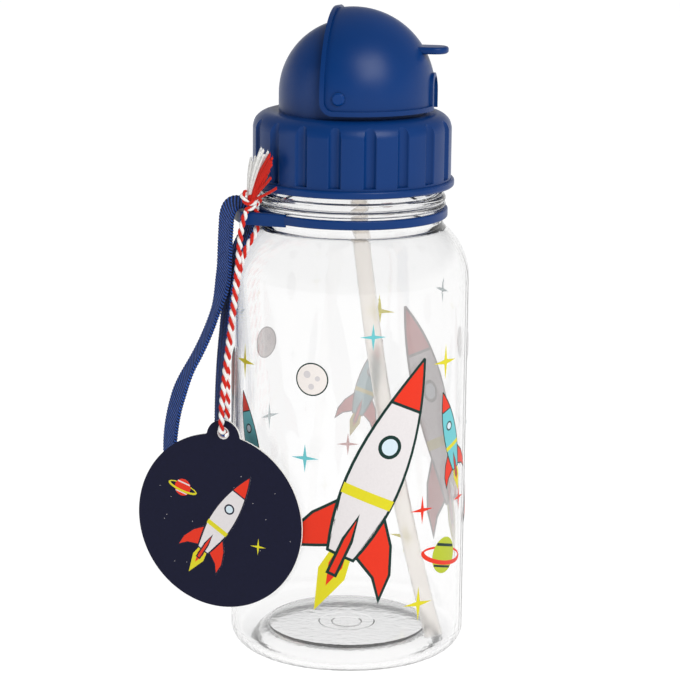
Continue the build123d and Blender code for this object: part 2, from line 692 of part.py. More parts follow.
def make_knot():
    return Pos(*KNOT_AT) * Sphere(KNOT_R)


def make_tassel():
    """The frayed ends above the knot, as one thin fan beside the cap's skirt."""
    outward = radial(TASSEL_SIDE_DEG)
    plane = Plane(origin=outward * TASSEL_R, x_dir=sideways(TASSEL_SIDE_DEG), z_dir=outward)
    fan = make_face(
        Polyline(
            (-5.2, 144.1),
            (-4.6, 157.0),
            (-1.0, 158.0),
            (3.4, 155.0),
            (7.2, 147.5),
            (6.4, 145.4),
            (-2.2, 143.6),
            close=True,
        )
    )
    return plane * extrude(fan, amount=TASSEL_T / 2, both=True)


PIECES = {
    "bottle": make_bottle,
    "screw_cap": make_cap,
    "flip_cover": make_cover,
    "hinge_pin_left": lambda: make_pin(1),
    "hinge_pin_right": lambda: make_pin(-1),
    "spout_base": make_spout_base,
    "spout_tip": make_spout_tip,
    "straw_connector": make_connector,
    "straw": make_straw,
    "cap_seal": make_seal,
    "vent_valve": make_valve,
    "neck_ring": make_ring,
    "carry_strap": make_strap,
    "tag_string": make_string,
    "string_knot": make_knot,
    "string_tassel": make_tassel,
    "hang_tag": make_tag,
}

for name, make in PIECES.items():
    export_step(make(), f"parts/{name}.step")
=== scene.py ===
"""Looks of a kids' drinking bottle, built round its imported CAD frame.

Metres, in the row frame: +Z up, +X the drinking side, origin at the middle of the bottle's foot.
Lengths written as numbers are millimetres, and mm() turns them into metres.
"""
import math
import random

import bmesh
import bpy
from mathutils import Matrix, Vector
from mathutils.geometry import tessellate_polygon


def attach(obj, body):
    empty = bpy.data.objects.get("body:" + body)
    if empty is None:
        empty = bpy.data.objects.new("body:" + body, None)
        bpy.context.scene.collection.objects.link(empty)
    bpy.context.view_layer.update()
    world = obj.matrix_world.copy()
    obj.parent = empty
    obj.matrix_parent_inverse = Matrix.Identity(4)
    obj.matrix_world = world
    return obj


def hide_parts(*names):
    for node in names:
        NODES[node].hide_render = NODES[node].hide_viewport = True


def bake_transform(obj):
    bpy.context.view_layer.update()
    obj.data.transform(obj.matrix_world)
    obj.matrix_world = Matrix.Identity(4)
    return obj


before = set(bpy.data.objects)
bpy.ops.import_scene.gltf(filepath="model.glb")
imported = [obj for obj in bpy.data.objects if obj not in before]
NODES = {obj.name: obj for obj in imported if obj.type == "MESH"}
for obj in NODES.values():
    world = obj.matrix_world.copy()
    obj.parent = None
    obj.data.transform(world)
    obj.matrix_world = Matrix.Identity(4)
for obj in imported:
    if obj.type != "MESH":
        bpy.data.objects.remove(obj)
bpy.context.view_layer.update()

# --- driving sizes, in millimetres, as in the CAD source ---------------------------------------
BARREL_R = 36.0
LUG_SIDE_DEG = -64.0
LUG_BAR = (34.6, 135.5)
STRAP_W = 9.6
STRAP_T = 1.2
STRAP_LEAN_DEG = 6.0
STRING_D = 1.8
TAG_SIDE_DEG = -12.0
TAG_T = 0.8
TAG_PLANE_R = 37.0
TAG_HANG = (-25.25, 72.2)
TAG_LEAN_DEG = 2.6
TAG_HOLE_UP = 27.3
TAG_HOLE_R = 1.45


def mm(*values):
    """Millimetres as metres: one number, or several as a Vector."""
    if len(values) == 1:
        return values[0] * 0.001
    return Vector(values) * 0.001


def radial(side_deg):
    angle = math.radians(side_deg)
    return Vector((math.sin(angle), -math.cos(angle), 0))


def sideways(side_deg):
    angle = math.radians(side_deg)
    return Vector((math.cos(angle), math.sin(angle), 0))


# --- meshes --------------------------------------------------------------------------------------
def mesh_piece(name, points, faces, materials, indices=None, uvs=None, smooth=True):
    """A mesh object from points in metres. uvs has one pair for each corner of each face."""
    mesh = bpy.data.meshes.new(name)
    mesh.from_pydata([tuple(p) for p in points], [], faces)
    for material in materials:
        mesh.materials.append(material)
    if indices is not None:
        mesh.polygons.foreach_set("material_index", indices)
    mesh.polygons.foreach_set("use_smooth", [smooth] * len(faces))
    if uvs is not None:
        layer = mesh.uv_layers.new(name="along_and_round")
        layer.data.foreach_set("uv", [x for pair in uvs for x in pair])
    mesh.update()
    piece = bpy.data.objects.new(name, mesh)
    bpy.context.scene.collection.objects.link(piece)
    return piece


class Mesh:
    """Collects rings of points into one mesh, with a UV of length along and share round."""

    def __init__(self):
        self.points, self.faces, self.indices, self.uvs = [], [], [], []

    def tube(self, rings, lengths, material=0, closed_ends=True):
        """Skins rings of equal size. lengths are millimetres along, for the UV."""
        first, size = len(self.points), len(rings[0])
        for ring in rings:
            self.points.extend(ring)
        for i in range(len(rings) - 1):
            for j in range(size):
                k = (j + 1) % size
                a = first + i * size
                self.faces.append((a + j, a + k, a + size + k, a + size + j))
                self.indices.append(material)
                u0, u1 = lengths[i], lengths[i + 1]
                v0, v1 = j / size, (j + 1) / size
                self.uvs.extend([(u0, v0), (u0, v1), (u1, v1), (u1, v0)])
        if closed_ends:
            self.cap(range(first + size - 1, first - 1, -1), lengths[0], material)
            last = first + (len(rings) - 1) * size
            self.cap(range(last, last + size), lengths[-1], material)

    def cap(self, corners, u, material):
        corners = list(corners)
        self.faces.append(tuple(corners))
        self.indices.append(material)
        self.uvs.extend([(u, 0.5)] * len(corners))

    def piece(self, name, materials, smooth=True):
        return mesh_piece(
            name, self.points, self.faces, materials, self.indices, self.uvs, smooth
        )


def lengths_along(points):
    total, found = 0.0, [0.0]
    for a, b in zip(points, points[1:]):
        total += (b - a).length
        found.append(total)
    return found


def resampled(points, step):
    """The same line with points about step apart."""
    along = lengths_along(points)
    count = max(2, round(along[-1] / step) + 1)
    found, i = [], 0
    for k in range(count):
        at = along[-1] * k / (count - 1)
        while i < len(points) - 2 and along[i + 1] < at:
            i += 1
        span = max(along[i + 1] - along[i], 1e-12)
        found.append(points[i].lerp(points[i + 1], min(1.0, (at - along[i]) / span)))
    return found


def moving_frames(points, first_side):
    """A tangent, a side and an up at each point, turned as little as possible along the way."""
    frames, side = [], first_side
    for i, point in enumerate(points):
        tangent = (points[min(i + 1, len(points) - 1)] - points[max(i - 1, 0)]).normalized()
        side = (side - tangent * side.dot(tangent)).normalized()
        frames.append((point, tangent, side, tangent.cross(side)))
    return frames


def nurbs_line(name, route):
    """Points along the smooth line that has the route's points as control points."""
    curve = bpy.data.curves.new(name, "CURVE")
    curve.dimensions = "3D"
    curve.resolution_u = 24
    spline = curve.splines.new("NURBS")
    spline.points.add(len(route) - 1)
    for point, place in zip(spline.points, route):
        point.co = (*place, 1)
    spline.order_u = 3
    spline.use_endpoint_u = True
    holder = bpy.data.objects.new(name, curve)
    mesh = bpy.data.meshes.new_from_object(holder)
    line = [v.co.copy() for v in mesh.vertices]
    bpy.data.meshes.remove(mesh)
    bpy.data.objects.remove(holder)
    bpy.data.curves.remove(curve)
    return line


# --- materials -----------------------------------------------------------------------------------
def display(red, green, blue):
    """Linear colour from display values of 0 to 255."""

    def linear(value):
        value /= 255
        return value / 12.92 if value <= 0.04045 else ((value + 0.055) / 1.055) ** 2.4

    return (linear(red), linear(green), linear(blue), 1.0)


class Look:
    """A material on one Principled shader, with helpers for the nodes that feed it."""

    def __init__(self, name, colour, roughness, **sockets):
        self.material = bpy.data.materials.new(name)
        self.material.use_nodes = True
        self.tree = self.material.node_tree
        self.shader = self.tree.nodes["Principled BSDF"]
        self.colour = colour
        self.shader.inputs["Base Color"].default_value = colour
        self.shader.inputs["Roughness"].default_value = roughness
        for socket, value in sockets.items():
            self.shader.inputs[socket.replace("_", " ")].default_value = value

    def node(self, kind, inputs=(), **settings):
        made = self.tree.nodes.new(kind)
        for key, value in settings.items():
            setattr(made, key, value)
        for key, value in dict(inputs).items():
            if isinstance(value, bpy.types.NodeSocket):
                self.tree.links.new(value, made.inputs[key])
            else:
                made.inputs[key].default_value = value
        return made

    def places(self, kind="Object"):
        return self.node("ShaderNodeTexCoord").outputs[kind]

    def noise(self, scale, detail=2.0, vector=None):
        """Noise from 0 to 1. scale is lumps per metre on object places."""
        where = self.places() if vector is None else vector
        made = self.node(
            "ShaderNodeTexNoise", {"Vector": where, "Scale": scale, "Detail": detail}
        )
        return made.outputs["Fac"]

    def maths(self, operation, a, b=0.0):
        return self.node("ShaderNodeMath", {0: a, 1: b}, operation=operation).outputs[0]

    def spread(self, value, low, high, to_low=0.0, to_high=1.0):
        made = self.node(
            "ShaderNodeMapRange", {0: value, 1: low, 2: high, 3: to_low, 4: to_high}
        )
        return made.outputs[0]

    def mixed(self, share, a, b):
        made = self.node("ShaderNodeMix", data_type="RGBA")
        for key, value in ((0, share), (6, a), (7, b)):
            if isinstance(value, bpy.types.NodeSocket):
                self.tree.links.new(value, made.inputs[key])
            else:
                made.inputs[key].default_value = value
        return made.outputs[2]

    def feed(self, socket, value):
        self.tree.links.new(value, self.shader.inputs[socket])

    def bump(self, height, distance, strength=1.0):
        made = self.node(
            "ShaderNodeBump", {"Height": height, "Distance": distance, "Strength": strength}
        )
        self.feed("Normal", made.outputs["Normal"])


def shade_of(colour, share):
    """A colour made darker or lighter."""
    return (*(min(1.0, channel * share) for channel in colour[:3]), 1.0)


def moulded_plastic(name, colour, roughness, grain):
    """Satin injection moulding: fine spark-eroded grain, faint flow marks, slight colour drift."""
    look = Look(name, colour, roughness, Specular_IOR_Level=0.2)
    drift = look.noise(45, 3.0)
    look.feed("Base Color", look.mixed(drift, shade_of(colour, 0.86), shade_of(colour, 1.14)))
    fine = look.noise(3200, 2.0)
    rough = look.maths("MULTIPLY_ADD", look.noise(320, 3.0), 0.10)
    rough.node.inputs[2].default_value = roughness - 0.05
    look.feed("Roughness", rough)
    look.bump(fine, mm(grain), 0.35)
    return look.material


def clear_plastic():
    look = Look(
        "clear_plastic", (0.985, 0.985, 0.985, 1), 0.015,
        Transmission_Weight=1.0, IOR=1.5, Specular_IOR_Level=0.5,
    )
    ripple = look.noise(70, 1.0)
    height = look.node("ShaderNodeSeparateXYZ", {0: look.places()}).outputs[2]
    low_down = look.spread(height, mm(13.0), mm(6.0))
    flow = look.maths("MULTIPLY", look.noise(420, 3.0), look.maths("MULTIPLY", low_down, 8.0))
    look.bump(look.maths("ADD", ripple, flow), mm(0.03), 0.25)
    look.feed("Roughness", look.spread(low_down, 0.0, 1.0, 0.015, 0.10))
    absorb = look.node(
        "ShaderNodeVolumeAbsorption", {"Color": (0.80, 0.79, 0.78, 1), "Density": 60.0}
    )
    out = look.tree.nodes["Material Output"]
    look.tree.links.new(absorb.outputs[0], out.inputs["Volume"])
    return look.material


def soft_silicone(name, colour, transmission):
    look = Look(name, colour, 0.42, Transmission_Weight=transmission, IOR=1.41)
    look.shader.inputs["Subsurface Weight"].default_value = 0.25
    look.shader.inputs["Subsurface Radius"].default_value = (0.003, 0.003, 0.003)
    cloud = look.noise(180, 2.0)
    look.feed("Base Color", look.mixed(cloud, shade_of(colour, 0.93), shade_of(colour, 1.03)))
    look.bump(look.noise(2400, 2.0), mm(0.012), 0.3)
    return look.material


def straw_plastic():
    """Milky extruded tube, with fine draw lines along it."""
    look = Look("straw_plastic", (0.99, 0.97, 0.94, 1), 0.34, Transmission_Weight=0.96, IOR=1.12)
    stretched = look.node("ShaderNodeMapping", {"Vector": look.places(), "Scale": (1, 1, 0.03)})
    lines = look.noise(2600, 2.0, stretched.outputs[0])
    tint = look.mixed(lines, (0.95, 0.92, 0.89, 1), (1.0, 0.985, 0.96, 1))
    look.feed("Base Color", tint)
    look.bump(lines, mm(0.01), 0.4)
    return look.material


def uv_parts(look):
    split = look.node("ShaderNodeSeparateXYZ", {0: look.places("UV")})
    return split.outputs[0], split.outputs[1]


def yarn(name, colour, fibres=7, lay_mm=1.3):
    """Spun cotton: fine fibres that wind round the yarn, with fuzz between them. The colour follows the
    bump's height, so the grooves between the fibres get painted shade, over a random fuzz tone.
    """
    look = Look(name, colour, 0.85, Specular_IOR_Level=0.2)
    look.shader.inputs["Sheen Weight"].default_value = 0.08
    look.shader.inputs["Sheen Roughness"].default_value = 0.5
    along, around = uv_parts(look)
    turn = look.maths("MULTIPLY", along, 1 / lay_mm)
    phase = look.maths("ADD", turn, look.maths("MULTIPLY", around, float(fibres)))
    stripe = look.maths("SINE", look.maths("MULTIPLY", phase, 2 * math.pi))
    fuzz = look.noise(5200, 3.0)
    height = look.maths("ADD", look.maths("MULTIPLY", stripe, 0.25), fuzz)
    # Colour from height: painted shade where the grooves between the fibres lie low, and random tone from
    # the fuzz.
    share = look.spread(height, 0.2, 0.95)
    look.feed("Base Color", look.mixed(share, shade_of(colour, 0.72), shade_of(colour, 1.08)))
    look.bump(height, mm(0.05), 0.6)
    return look.material


WEAVE_MM = 0.95        # webbing: pitch of the ribs across it


def webbing():
    """Woven polypropylene: ribs slightly diagonal, and plainer edges. The rib pattern is real weave; its
    dark gaps are painted shade and its bright ribs painted highlight, the colour following the same pattern
    as the bump.
    """
    # low is painted shade for the gaps between the ribs, high is painted highlight for the ribs.
    low, high = display(3, 8, 30), display(66, 112, 212)
    look = Look("strap_webbing", display(36, 58, 112), 0.7, Specular_IOR_Level=0.15)
    look.shader.inputs["Sheen Weight"].default_value = 0.06
    along, around = uv_parts(look)
    slant = look.maths("MULTIPLY", around, 6.0)
    phase = look.maths("ADD", look.maths("MULTIPLY", along, 1 / WEAVE_MM), slant)
    rib = look.maths("SINE", look.maths("MULTIPLY", phase, 2 * math.pi))
    warp = look.maths("SINE", look.maths("MULTIPLY", around, 2 * math.pi * 46))
    cloth = look.maths("ADD", rib, look.maths("MULTIPLY", warp, 0.45))
    uneven = look.noise(900, 3.0)
    share = look.spread(look.maths("ADD", cloth, uneven), -0.1, 1.8)
    # The weave's colour: painted shade in the gaps, painted highlight on the ribs.
    look.feed("Base Color", look.mixed(share, low, high))
    look.bump(cloth, mm(0.16), 0.8)
    return look.material


def ink(name, colour, roughness=0.38):
    """Screen-printed ink: an even film with pinholes and a little orange peel."""
    look = Look(name, colour, roughness, Specular_IOR_Level=0.2)
    grain = look.noise(1500, 3.0)
    look.feed("Base Color", look.mixed(grain, shade_of(colour, 0.94), shade_of(colour, 1.04)))
    look.bump(grain, mm(0.008), 0.3)
    return look.material


def tag_card():
    """Navy printed card. Its cut edge shows the pale board."""
    navy, board = display(16, 18, 42), (0.80, 0.79, 0.76, 1)
    look = Look("tag_card", navy, 0.6, Specular_IOR_Level=0.15)
    face = tuple(radial(TAG_SIDE_DEG))
    facing = look.node(
        "ShaderNodeVectorMath", {0: look.places("Normal"), 1: face}, operation="DOT_PRODUCT"
    )
    edge = look.maths("LESS_THAN", look.maths("ABSOLUTE", facing.outputs["Value"]), 0.5)
    fibre = look.noise(900, 4.0)
    print_tone = look.mixed(fibre, shade_of(navy, 0.85), shade_of(navy, 1.25))
    look.feed("Base Color", look.mixed(edge, print_tone, board))
    look.bump(fibre, mm(0.02), 0.25)
    return look.material


INKS = {
    "red": display(222, 48, 22),
    "yellow": display(214, 204, 32),
    "sun": display(214, 204, 32),
    "green": display(8, 46, 40),
    "lime": display(176, 188, 40),
    "teal": display(104, 190, 196),
    "white": display(219, 214, 214),
    "grey": display(208, 203, 204),
    "pale": display(236, 229, 224),
    "sky": display(204, 220, 228),
    "navy": display(16, 18, 42),
}
THIN_INKS = {"sun": 0.2}       # printed with little white under them


def backing_of(key, colour):
    """The ink's colour as it shows from behind, through its white underprint."""
    pale = (0.62, 0.58, 0.58)
    share = THIN_INKS.get(key, 0.72)
    return (*(c * (1 - share) + p * share for c, p in zip(colour[:3], pale)), 1.0)


# --- camera and light ----------------------------------------------------------------------------
VIEW_SIDE_DEG = 10.0
VIEW_DOWN_DEG = 12.42
VIEW_ROLL_DEG = 0.62
CAMERA_AT = (0.13395, -0.77697, 0.26898)
CAMERA_LENS = 140.28
CAMERA_SENSOR = 36.0


def make_camera():
    camera = bpy.data.objects.new("camera", bpy.data.cameras.new("camera"))
    bpy.context.scene.collection.objects.link(camera)
    down = math.radians(VIEW_DOWN_DEG)
    ahead = -radial(VIEW_SIDE_DEG) * math.cos(down) - Vector((0, 0, math.sin(down)))
    turn = ahead.to_track_quat("-Z", "Y").to_matrix().to_4x4()
    roll = Matrix.Rotation(math.radians(VIEW_ROLL_DEG), 4, "Z")
    camera.matrix_world = Matrix.Translation(CAMERA_AT) @ turn @ roll
    camera.data.lens = CAMERA_LENS
    camera.data.sensor_width = CAMERA_SENSOR
    camera.data.clip_start = 0.05
    bpy.context.scene.camera = camera


def soft_light(name, side_deg, up_deg, distance, size, watts):
    """A softbox that faces the middle of the bottle, and that the clear wall doesn't mirror."""
    data = bpy.data.lights.new(name, "AREA")
    data.shape = "RECTANGLE"
    data.size, data.size_y = size
    data.energy = watts
    light = bpy.data.objects.new(name, data)
    bpy.context.scene.collection.objects.link(light)
    up = math.radians(up_deg)
    way = radial(side_deg) * math.cos(up) + Vector((0, 0, math.sin(up)))
    light.location = Vector((0, 0, 0.1)) + way * distance
    light.rotation_euler = way.to_track_quat("Z", "Y").to_euler()
    skipped = bpy.data.collections.new(f"{name}_skips")
    skipped.objects.link(NODES["bottle"])
    light.light_linking.receiver_collection = skipped
    skipped.collection_objects[0].light_linking.link_state = "EXCLUDE"


WHITE_UP_TO = 0.56     # share of the sky's height, from straight down to straight up
DIM_FROM = 0.66
OVERHEAD = (0.36, 0.37, 0.38, 1)
NEAR_TO_FAR = (-0.5, 0.2)       # where the strength starts and ends to rise, towards +Y
STRENGTHS = (0.42, 1.0)


def make_world():
    """White behind the object and near the horizon, dimmer overhead and on the near side."""
    world = bpy.data.worlds.new("studio")
    bpy.context.scene.world = world
    world.use_nodes = True
    tree = world.node_tree
    background = tree.nodes["Background"]
    where = tree.nodes.new("ShaderNodeTexCoord")
    split = tree.nodes.new("ShaderNodeSeparateXYZ")
    ramp = tree.nodes.new("ShaderNodeValToRGB")
    tree.links.new(where.outputs["Generated"], split.inputs[0])
    level = tree.nodes.new("ShaderNodeMath")
    level.operation = "MULTIPLY_ADD"
    level.inputs[1].default_value = 0.5
    level.inputs[2].default_value = 0.5
    tree.links.new(split.outputs[2], level.inputs[0])
    tree.links.new(level.outputs[0], ramp.inputs[0])
    stops = ramp.color_ramp.elements
    stops[0].position, stops[1].position = WHITE_UP_TO, DIM_FROM
    stops[0].color = (1.0, 1.0, 1.0, 1)
    stops[1].color = OVERHEAD
    tree.links.new(ramp.outputs[0], background.inputs["Color"])
    dimmer = tree.nodes.new("ShaderNodeMapRange")
    for number, value in enumerate(NEAR_TO_FAR + STRENGTHS, 1):
        dimmer.inputs[number].default_value = value
    tree.links.new(split.outputs[1], dimmer.inputs[0])
    tree.links.new(dimmer.outputs[0], background.inputs["Strength"])


FLOOR_HALF_M = 3.0
FLOOR_DROP_M = 0.0003


def make_floor():
    """A pale floor just under the foot, bright enough by itself to leave no horizon in front."""
    half = FLOOR_HALF_M
    corners = [(x * half, y * half, -FLOOR_DROP_M) for x, y in ((-1, -1), (1, -1), (1, 1), (-1, 1))]
    look = Look("floor", (0.16, 0.16, 0.16, 1), 0.8, Emission_Strength=0.94)
    look.shader.inputs["Emission Color"].default_value = (1, 1, 1, 1)
    floor = mesh_piece("floor", corners, [(0, 1, 2, 3)], [look.material], smooth=False)


make_camera()
make_world()
make_floor()
soft_light("key_right", 40.0, 38.0, 1.1, (0.6, 0.6), 9.5)
soft_light("side_left", -62.0, 14.0, 0.9, (0.3, 0.6), 0.9)
bpy.context.scene.view_settings.view_transform = "Standard"

# --- string, knot and tassel -------------------------------------------------------------------
RED_YARN = yarn("red_yarn", display(212, 36, 22))
WHITE_YARN = yarn("white_yarn", display(248, 246, 243))
TWIST_PITCH = 4.4      # one full turn of the two plies
PLY_R = 0.52
PLY_OFF = 0.42         # from the string's middle to a ply's middle


def hang_place(across, up, out):
    """A place by the tag's hole: along the tag's plane, up, and off the plane. Millimetres in."""
    face, side = radial(TAG_SIDE_DEG), sideways(TAG_SIDE_DEG)
    flat = face * (TAG_PLANE_R + out) + side * (TAG_HANG[0] + across)
    return mm(flat.x, flat.y, TAG_HANG[1] + up)


def on_tag(x, y, height):
    """A place over the tag's front, from the middle of its disc, turned with the tag."""
    lean = math.radians(TAG_LEAN_DEG)
    down = y - TAG_HOLE_UP
    across = x * math.cos(lean) + down * math.sin(lean)
    up = -x * math.sin(lean) + down * math.cos(lean)
    return hang_place(across, up, TAG_T / 2 + height)


def string_route():
    """Control points, as in the CAD: down the front, through the tag's hole, up the back."""
    rest = TAG_HOLE_R - STRING_D / 2 - 0.15
    return [
        mm(-26.95, -24.8, 138.4),
        mm(-28.2, -25.5, 135.0),
        mm(-28.9, -25.4, 128.5),
        mm(-29.6, -25.6, 119.0),
        mm(-30.9, -26.8, 106.0),
        mm(-32.2, -28.0, 94.0),
        hang_place(0.4, rest + 9.5, 2.2),
        hang_place(0.2, rest + 3.4, 2.1),
        hang_place(0.0, rest - 0.1, 1.9),
        hang_place(0.0, rest - 0.1, -1.9),
        hang_place(0.2, rest + 3.6, -2.0),
        hang_place(0.4, rest + 9.5, -1.7),
        mm(-32.5, -25.7, 94.0),
        mm(-31.1, -24.4, 106.0),
        mm(-30.0, -23.5, 117.0),
        mm(-28.1, -22.9, 126.0),
        mm(-24.7, -20.5, 131.5),
        mm(-24.3, -20.2, 136.4),
        mm(-25.1, -21.6, 139.4),
    ]


def add_twist(mesh, line, ply_r, ply_off, pitch, sides=10, start_deg=0.0):
    """Two plies wound round a line. Material 0 is one ply's, material 1 the other's."""
    frames = moving_frames(line, Vector((1, 0.3, 0)).normalized())
    along = [1000 * x for x in lengths_along(line)]
    for ply in (0, 1):
        centres = []
        for (point, _, side, up), at in zip(frames, along):
            angle = -2 * math.pi * at / pitch + ply * math.pi + math.radians(start_deg)
            centres.append(point + (side * math.cos(angle) + up * math.sin(angle)) * mm(ply_off))
        add_round(mesh, centres, ply_r, sides, ply)


def add_round(mesh, centres, radius, sides, material, taper=0.0):
    """A round tube through points, rounded off at both ends. taper thins it towards its end."""
    frames = moving_frames(centres, Vector((0.2, 1, 0.1)).normalized())
    along = [1000 * x for x in lengths_along(centres)]
    rings = []
    for (point, _, side, up), at in zip(frames, along):
        end = min(at, along[-1] - at) / radius
        share = math.sqrt(max(0.08, 1 - max(0.0, 1 - end) ** 2)) * (1 - taper * at / along[-1])
        ring = []
        for k in range(sides):
            angle = 2 * math.pi * k / sides
            way = side * math.cos(angle) + up * math.sin(angle)
            ring.append(point + way * mm(radius * share))
        rings.append(ring)
    mesh.tube(rings, along, material)


def make_string():
    line = resampled(nurbs_line("string_route", string_route()), mm(0.28))
    mesh = Mesh()
    add_twist(mesh, line, PLY_R, PLY_OFF, TWIST_PITCH)
    piece = mesh.piece("tag_string_twine", [RED_YARN, WHITE_YARN])
    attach(piece, "ring")
    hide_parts("tag_string")
    return piece, line


KNOT = (-26.2, -23.3, 141.4)
KNOT_FACE_DEG = 10.0
# The wrap's route about the knot: across, up and forward. It ends where the string hangs down.
KNOT_WRAP = [
    (2.2, -1.8, -1.2), (2.9, -0.2, -0.2), (2.4, 1.0, 0.8), (1.3, -0.4, 1.8), (-0.2, -1.1, 2.1),
    (-1.7, -0.1, 1.8), (-2.5, 1.5, 0.6), (-1.3, 2.1, -1.3), (0.9, 1.4, -1.7), (2.2, -0.4, -0.9),
    (1.3, -1.9, 0.9), (-0.3, -2.5, 1.5), (-1.3, -2.5, 1.5), (-1.1, -3.3, 1.3),
]


def make_knot():
    """The string wrapped once and a half round its own frayed ends."""
    forward, side = radial(KNOT_FACE_DEG), sideways(KNOT_FACE_DEG)
    centre = mm(*KNOT)

    def near_knot(across, up, ahead):
        return centre + mm(*(side * across + forward * ahead)) + mm(0, 0, up)

    mesh = Mesh()
    route = nurbs_line("knot_route", [near_knot(*place) for place in KNOT_WRAP])
    add_twist(mesh, resampled(route, mm(0.2)), 0.46, 0.38, 5.2, start_deg=120)
    core = [near_knot(0.2, -2.4, 0.1), near_knot(0.1, 0, 0.1), near_knot(0.7, 1.8, 0)]
    add_round(mesh, resampled(nurbs_line("knot_core", core), mm(0.2)), 1.25, 12, 0)
    piece = mesh.piece("knot_wrap", [RED_YARN, WHITE_YARN])
    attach(piece, "ring")
    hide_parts("string_knot")
    return piece


TASSEL_SIDE_DEG = -40.0
# Tips of the untwisted yarns, across and up from the knot, then how far each bows sideways.
WHITE_TIPS = [
    (-1.6, 12.4, -0.7), (-0.7, 11.4, -0.5), (0.4, 12.9, -0.6), (0.9, 12.2, -0.3), (1.7, 10.2, 0.1),
    (2.3, 11.6, -0.4), (2.9, 15.5, -1.3), (3.6, 14.6, -0.9), (4.6, 15.3, -1.1), (5.2, 14.0, -0.6),
    (6.0, 14.8, -1.2), (-1.0, 9.6, -0.4), (3.2, 13.0, -0.4), (1.2, 8.8, 0.2),
]
RED_TIPS = [
    (7.3, 14.3, -1.6), (7.9, 13.9, -1.3), (8.5, 13.4, -1.0), (8.8, 12.4, -0.8), (8.9, 11.6, -0.6),
    (8.1, 12.6, -0.7), (7.5, 11.4, -0.3), (6.5, 7.9, 0.2), (8.7, 7.6, -0.2), (11.3, 4.8, 0.5),
    (6.9, 9.6, 0.0),
]


def make_tassel():
    rng = random.Random(7)
    out, side = radial(TASSEL_SIDE_DEG), sideways(TASSEL_SIDE_DEG)
    foot = mm(KNOT[0], KNOT[1], KNOT[2] - 0.4)
    fan_r = 33.3
    knot_r = Vector(KNOT[:2]).to_3d().dot(out)
    mesh = Mesh()
    for tips, material, lean in ((WHITE_TIPS, 1, -0.5), (RED_TIPS, 0, 0.9)):
        for across, up, bow in tips:
            depth = fan_r - knot_r + rng.uniform(-0.55, 0.55)
            tip = foot + mm(*(side * across + out * depth)) + mm(0, 0, up + 0.4)
            start = foot + mm(*(side * (lean + rng.uniform(-0.4, 0.4))))
            start += mm(*(out * rng.uniform(-0.3, 0.5)))
            bend = start.lerp(tip, 0.45) + mm(*(side * bow))
            late = start.lerp(tip, 0.8) + mm(*(side * (bow * 0.6 + rng.uniform(-0.2, 0.2))))
            line = nurbs_line("yarn_route", [start, bend, late, tip])
            add_round(mesh, resampled(line, mm(0.35)), 0.42, 8, material)
            for _ in range(3):
                stray = tip + mm(*(side * rng.uniform(-0.3, 0.3))) + mm(0, 0, rng.uniform(0.1, 0.6))
                root = late.lerp(tip, 0.6) + mm(*(side * rng.uniform(-0.1, 0.1)))
                add_round(mesh, resampled([root, stray], mm(0.3)), 0.09, 5, material, 0.5)
    piece = mesh.piece("tassel_yarns", [RED_YARN, WHITE_YARN])
    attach(piece, "ring")
    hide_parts("string_tassel")
    return piece


# --- strap ---------------------------------------------------------------------------------------
STRAP_LOOK = webbing()


def strap_place(distance, height):
    """A place in the strap's leaning plane, as in the CAD."""
    out, side = radial(LUG_SIDE_DEG), sideways(LUG_SIDE_DEG)
    lean = math.radians(STRAP_LEAN_DEG)
    up = Vector((0, 0, math.cos(lean))) + side * math.sin(lean)
    foot = Vector((0, 0, LUG_BAR[1])) - up * LUG_BAR[1]
    return (foot + out * distance + up * height) * 0.001


def strap_route():
    """Control points, as in the CAD: up the inner leg, over the bar, down and round."""
    wrap = 3.85
    low, high = LUG_BAR[1] - 3.0, LUG_BAR[1] + wrap
    flat = [
        (38.7, 57.0), (39.6, 78.0), (37.7, 108.0), (36.2, 123.0),
        (LUG_BAR[0] - wrap, low), (LUG_BAR[0] - wrap, high), (LUG_BAR[0] + wrap, high),
        (38.9, 128.0), (38.9, 114.0), (43.4, 98.0), (51.9, 82.0), (54.8, 66.0), (54.0, 50.6),
        (49.8, 45.8), (44.2, 45.3), (40.5, 49.0), (40.05, 57.0), (40.3, 63.5),
    ]
    return [strap_place(*point) for point in flat]


def strap_section():
    """Half-round edges with a thicker selvedge, round a flat middle: width and thickness."""
    half, thick, edge = STRAP_W / 2, STRAP_T / 2, 0.55
    outline = []
    steps = 12
    for face in (1, -1):
        for k in range(steps + 1):
            across = (half - edge) * (1 - 2 * k / steps) * face
            near_edge = max(0.0, abs(across) / (half - edge) - 0.78) / 0.22
            outline.append((across, thick * (0.84 + 0.16 * near_edge) * face))
        for k in (1, 2, 3):
            angle = math.pi / 2 - k * math.pi / 4
            outline.append((-(half - edge + edge * math.cos(angle)) * face, thick * math.sin(angle) * face))
    return outline


# Share of the length, and how far the webbing is turned about its own line there.
STRAP_TWIST = [(0.0, 0), (0.38, 0), (0.45, -9), (0.53, -9), (0.59, 5), (0.66, 5), (0.72, -6),
               (0.78, -8), (0.90, 0), (1.0, 0)]


def between(stops, share):
    for (a, x), (b, y) in zip(stops, stops[1:]):
        if share <= b:
            t = (share - a) / (b - a)
            t = t * t * (3 - 2 * t)
            return x + (y - x) * t
    return stops[-1][1]


